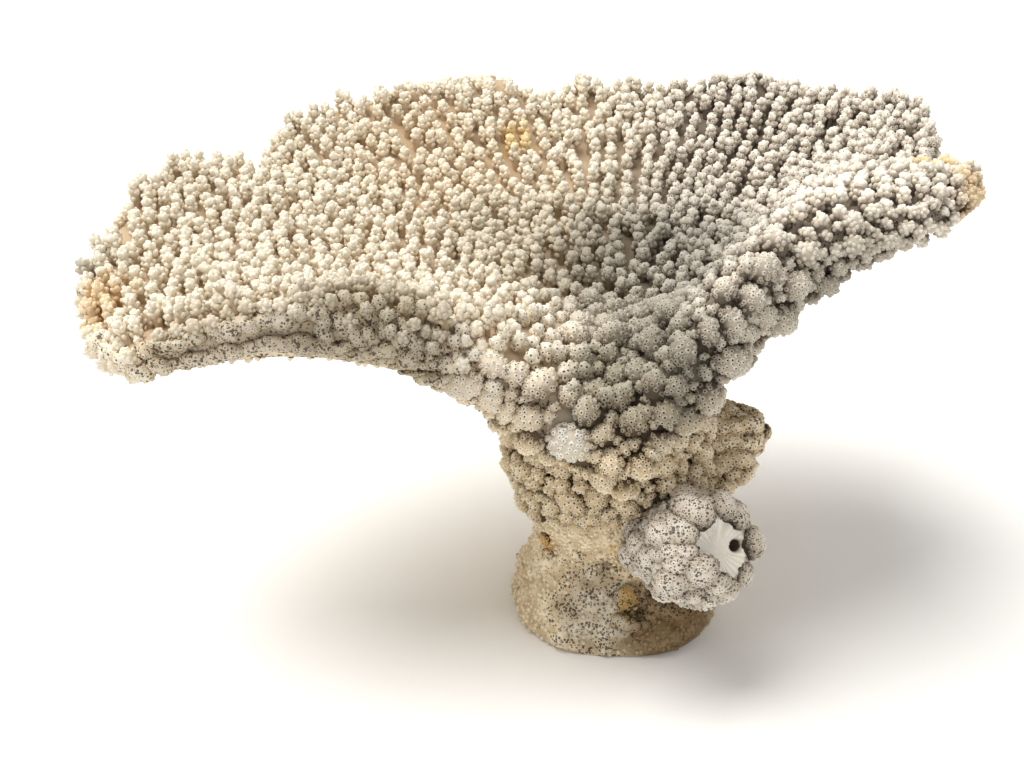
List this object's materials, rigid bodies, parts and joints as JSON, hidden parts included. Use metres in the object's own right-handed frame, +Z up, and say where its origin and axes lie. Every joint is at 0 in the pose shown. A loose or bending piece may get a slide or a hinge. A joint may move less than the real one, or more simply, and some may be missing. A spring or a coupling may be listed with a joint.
{
  "type": "staghorn coral",
  "caption": "Dried table-form coral on a short trunk: a knobbly stem, cut flat to stand on, opens into a wide shallow bowl covered in short upright branchlets.",
  "frame": {"origin": "centre of the flat cut under the foot, where the trunk's middle line meets the surface that the coral stands on", "axes": "+Z up along the trunk, +X towards the steep right-hand fan along the table's longest extent, -Y towards the open front of the bowl"},
  "size_m": [0.3651, 0.2557, 0.1964],
  "materials": {
    "cream_table": "matt porous aragonite, cream with warm tan crevices",
    "grey_table": "matt porous aragonite, grey-white with dark crevices",
    "tan_trunk": "matt porous aragonite, tan with grey and ochre patches",
    "grey_stub": "matt porous aragonite, grey-white"
  },
  "bodies": {
    "root": {"trunk": "tan_trunk", "left_fan": "cream_table", "middle_fan": "cream_table", "right_fan": "grey_table", "front_stub": "grey_stub", "side_stub": "tan_trunk"}
  },
  "joints": []
}
